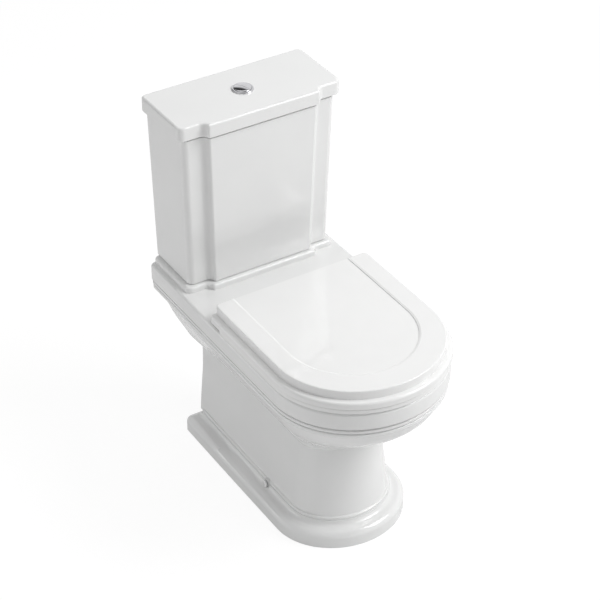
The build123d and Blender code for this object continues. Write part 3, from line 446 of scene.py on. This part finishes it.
def thread_tree(material):
    """Node group that winds a pointed ridge into a screw thread, and its inputs by name."""
    group = bpy.data.node_groups.new("screw_thread", "GeometryNodeTree")
    face = group.interface
    inputs = {}
    for label in ("Turns", "Radius", "Length", "Ridge"):
        socket = face.new_socket(label, in_out="INPUT", socket_type="NodeSocketFloat")
        inputs[label] = socket.identifier
    face.new_socket("Geometry", in_out="OUTPUT", socket_type="NodeSocketGeometry")
    entry = group.nodes.new("NodeGroupInput")
    leave = group.nodes.new("NodeGroupOutput")
    spiral = group.nodes.new("GeometryNodeCurveSpiral")
    spiral.inputs["Resolution"].default_value = STEPS_PER_TURN
    ridge = group.nodes.new("GeometryNodeCurvePrimitiveCircle")
    ridge.inputs["Resolution"].default_value = RIDGE_SIDES
    mesh = group.nodes.new("GeometryNodeCurveToMesh")
    mesh.inputs["Fill Caps"].default_value = True
    real = group.nodes.new("GeometryNodeRealizeInstances")
    finish = group.nodes.new("GeometryNodeSetMaterial")
    finish.inputs["Material"].default_value = material
    link = group.links.new
    link(entry.outputs["Turns"], spiral.inputs["Rotations"])
    link(entry.outputs["Radius"], spiral.inputs["Start Radius"])
    link(entry.outputs["Radius"], spiral.inputs["End Radius"])
    link(entry.outputs["Length"], spiral.inputs["Height"])
    link(entry.outputs["Ridge"], ridge.inputs["Radius"])
    link(spiral.outputs["Curve"], mesh.inputs["Curve"])
    link(ridge.outputs["Curve"], mesh.inputs["Profile Curve"])
    link(mesh.outputs["Mesh"], real.inputs["Geometry"])
    link(real.outputs["Geometry"], finish.inputs["Geometry"])
    link(finish.outputs["Geometry"], leave.inputs["Geometry"])
    return group, inputs


def wind_thread(name, material, form):
    """Plain mesh of a thread that rises from the origin."""
    group, inputs = thread_tree(material)
    holder = add_object(name + "_maker", bpy.data.meshes.new(name + "_maker"))
    maker = holder.modifiers.new("thread", "NODES")
    maker.node_group = group
    maker[inputs["Turns"]] = form["length"] / form["pitch"]
    maker[inputs["Radius"]] = form["radius"]
    maker[inputs["Length"]] = form["length"]
    maker[inputs["Ridge"]] = form["pitch"] * RIDGE_SHARE
    bpy.context.view_layer.update()
    ready = holder.evaluated_get(bpy.context.evaluated_depsgraph_get())
    mesh = bpy.data.meshes.new_from_object(ready)
    bpy.data.objects.remove(holder)
    return mesh


def add_thread(name, node, finish, across, form):
    """Puts the thread of one screw on its solid, a little above the solid's foot."""
    low, high = node_box(node)
    mesh = wind_thread(name, MATERIALS[finish], form)
    place = (across, (low.y + high.y) / 2, low.z + form["start"])
    mesh.transform(Matrix.Translation(place))
    work = bmesh.new()
    work.from_mesh(mesh)
    bmesh.ops.recalc_face_normals(work, faces=work.faces)
    work.to_mesh(mesh)
    work.free()
    add_piece(name, mesh, node, finish)


def matt(shader, grey):
    node = shader.add("ShaderNodeBsdfDiffuse")
    node.inputs["Color"].default_value = (grey, grey, grey, 1)
    return node


def add_floor():
    """Pale floor that keeps the shadow, nearly white to the camera."""
    mesh = bpy.data.meshes.new("floor")
    signs = ((-1, -1), (1, -1), (1, 1), (-1, 1))
    corners = [(x * FLOOR_REACH, y * FLOOR_REACH, 0) for x, y in signs]
    mesh.from_pydata(corners, [], [(0, 1, 2, 3)])
    floor = add_object("floor", mesh)
    s = Shader("pale_floor")
    diffuse = matt(s, FLOOR_GREY)
    shade = matt(s, FLOOR_SHADE)
    glow = s.add("ShaderNodeEmission")
    glow.inputs["Color"].default_value = (1, 1, 1, 1)
    glow.inputs["Strength"].default_value = FLOOR_GLOW
    path = s.add("ShaderNodeLightPath")
    seen = s.add("ShaderNodeAddShader")
    mix = s.add("ShaderNodeMixShader")
    s.join(shade.outputs[0], seen.inputs[0])
    s.join(glow.outputs[0], seen.inputs[1])
    s.join(path.outputs["Is Camera Ray"], mix.inputs[0])
    s.join(diffuse.outputs[0], mix.inputs[1])
    s.join(seen.outputs[0], mix.inputs[2])
    s.join(mix.outputs[0], s.output.inputs["Surface"])
    floor.data.materials.append(s.material)


def background(tree, strength):
    node = tree.nodes.new("ShaderNodeBackground")
    node.inputs["Color"].default_value = (1, 1, 1, 1)
    node.inputs["Strength"].default_value = strength
    return node


def mirrored_studio(tree):
    """What gloss reflects: a white sweep low and right, a dark ceiling above left."""
    view = tree.nodes.new("ShaderNodeTexCoord")
    lean = tree.nodes.new("ShaderNodeVectorMath")
    lean.operation = "DOT_PRODUCT"
    lean.inputs[1].default_value = GLOSS_LEAN
    ramp = tree.nodes.new("ShaderNodeValToRGB")
    shade = background(tree, strength=1.0)
    tree.links.new(view.outputs["Generated"], lean.inputs[0])
    tree.links.new(lean.outputs["Value"], ramp.inputs[0])
    tree.links.new(ramp.outputs["Color"], shade.inputs["Color"])
    stops = ramp.color_ramp.elements
    for index, (place, level) in enumerate(GLOSS_SWEEP):
        stop = stops[index] if index < len(stops) else stops.new(place)
        stop.position = place
        stop.color = (level, level, level, 1)
    return shade


def add_world():
    """Studio with one brightness for matt light, one for reflections and one for the camera."""
    world = bpy.data.worlds.new("studio")
    bpy.context.scene.world = world
    world.use_nodes = True
    tree = world.node_tree
    tree.nodes.clear()
    light = background(tree, STUDIO_LIGHT)
    gloss = mirrored_studio(tree)
    seen = background(tree, STUDIO_SEEN)
    path = tree.nodes.new("ShaderNodeLightPath")
    lit = tree.nodes.new("ShaderNodeMixShader")
    mix = tree.nodes.new("ShaderNodeMixShader")
    output = tree.nodes.new("ShaderNodeOutputWorld")
    tree.links.new(path.outputs["Is Glossy Ray"], lit.inputs[0])
    tree.links.new(light.outputs[0], lit.inputs[1])
    tree.links.new(gloss.outputs[0], lit.inputs[2])
    tree.links.new(path.outputs["Is Camera Ray"], mix.inputs[0])
    tree.links.new(lit.outputs[0], mix.inputs[1])
    tree.links.new(seen.outputs[0], mix.inputs[2])
    tree.links.new(mix.outputs[0], output.inputs["Surface"])


def add_softbox(name, place, target, width, height, power):
    data = bpy.data.lights.new(name, "AREA")
    data.shape = "RECTANGLE"
    data.size = width
    data.size_y = height
    data.energy = power
    add_object(name, data).matrix_world = facing(place, target)


for name, finish in FINISH_OF.items():
    paint(nodes[name], finish)
for name in SMOOTHED:
    smooth_copy(name)
button_dome("full_flush_button", side=-1)
button_dome("half_flush_button", side=1)
for thread in THREADS:
    add_thread(*thread)

add_camera()
add_floor()
add_world()
for softbox in SOFTBOXES:
    add_softbox(*softbox)

bpy.context.scene.view_settings.view_transform = "Standard"
